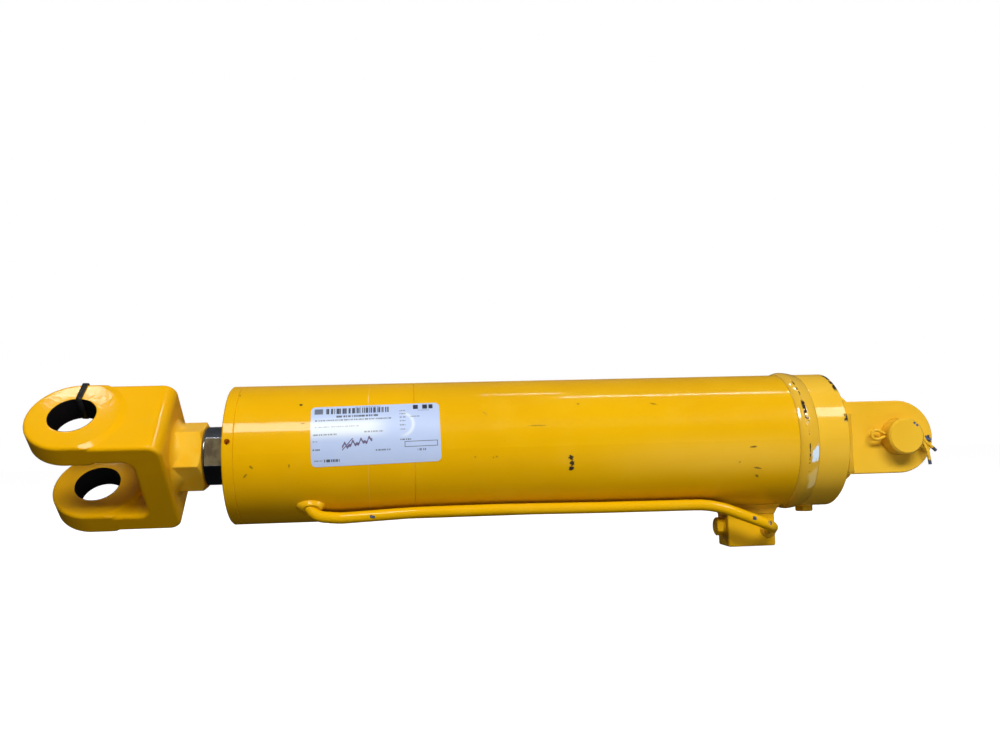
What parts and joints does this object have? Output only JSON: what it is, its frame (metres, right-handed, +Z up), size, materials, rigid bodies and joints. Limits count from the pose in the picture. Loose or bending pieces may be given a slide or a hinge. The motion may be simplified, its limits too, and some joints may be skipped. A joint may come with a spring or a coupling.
{
  "type": "hydraulic cylinder",
  "caption": "Double-acting welded hydraulic cylinder, retracted, with a forked clevis on the rod, a pinned double-ear clevis on the base and a rigid transfer tube along the barrel.",
  "frame": {"origin": "centre of the base clevis pin", "axes": "+X along the cylinder axis from the base pin to the rod clevis, +Y along the base pin towards the side with the label, +Z up, with the port block on the -Z side"},
  "size_m": [0.7764, 0.133, 0.1579],
  "materials": {
    "painted_steel": "gloss industrial yellow enamel over steel",
    "bare_steel": "bare machined steel",
    "rod_steel": "hard chrome plated, ground",
    "seal_rubber": "nitrile or polyurethane seal",
    "seal_plastic": "filled PTFE or nylon band",
    "cotter_wire": "overpainted steel wire with bare tips",
    "label_paper": "matt printed label",
    "nylon_black": "black nylon"
  },
  "bodies": {
    "barrel": {"barrel_tube": "painted_steel", "head_sleeve": "painted_steel", "rod_gland": "painted_steel", "gland_o_ring": "seal_rubber", "gland_backup_ring": "seal_plastic", "rod_seal": "seal_rubber", "rod_wiper": "seal_rubber", "gland_wear_band": "seal_plastic", "base_cap": "painted_steel", "base_cap_weld": "painted_steel", "base_ear_front": "painted_steel", "base_ear_rear": "painted_steel", "base_ear_welds": "painted_steel", "bleed_plug": "painted_steel", "port_block": "painted_steel", "port_block_weld": "painted_steel", "port_plug": "painted_steel", "port_plug_seal": "seal_rubber", "transfer_tube": "painted_steel", "tube_head_boss": "painted_steel", "tube_end_weld": "painted_steel", "label": "label_paper"},
    "base_pin_set": {"base_pin": "painted_steel", "cotter_pin_front": "cotter_wire", "cotter_pin_rear": "cotter_wire"},
    "piston_rings": {"piston_seal": "seal_plastic", "seal_expander": "seal_rubber", "piston_wear_bands": "seal_plastic"},
    "rod": {"piston": "bare_steel", "piston_nut": "bare_steel", "piston_rod": "rod_steel", "rod_o_ring": "seal_rubber", "rod_clevis": "painted_steel"}
  },
  "joints": [
    {"name": "rod_slide", "type": "slide", "parent": "barrel", "child": "piston_rings", "axis": [1, 0, 0], "range_m": [0, 0.3556]},
    {"name": "rod_spin", "type": "hinge", "parent": "piston_rings", "child": "rod", "pos_m": [0.138, 0, 0], "axis": [1, 0, 0], "continuous": true},
    {"name": "base_pin_spin", "type": "hinge", "parent": "barrel", "child": "base_pin_set", "pos_m": [0, 0, 0], "axis": [0, 1, 0], "continuous": true}
  ]
}
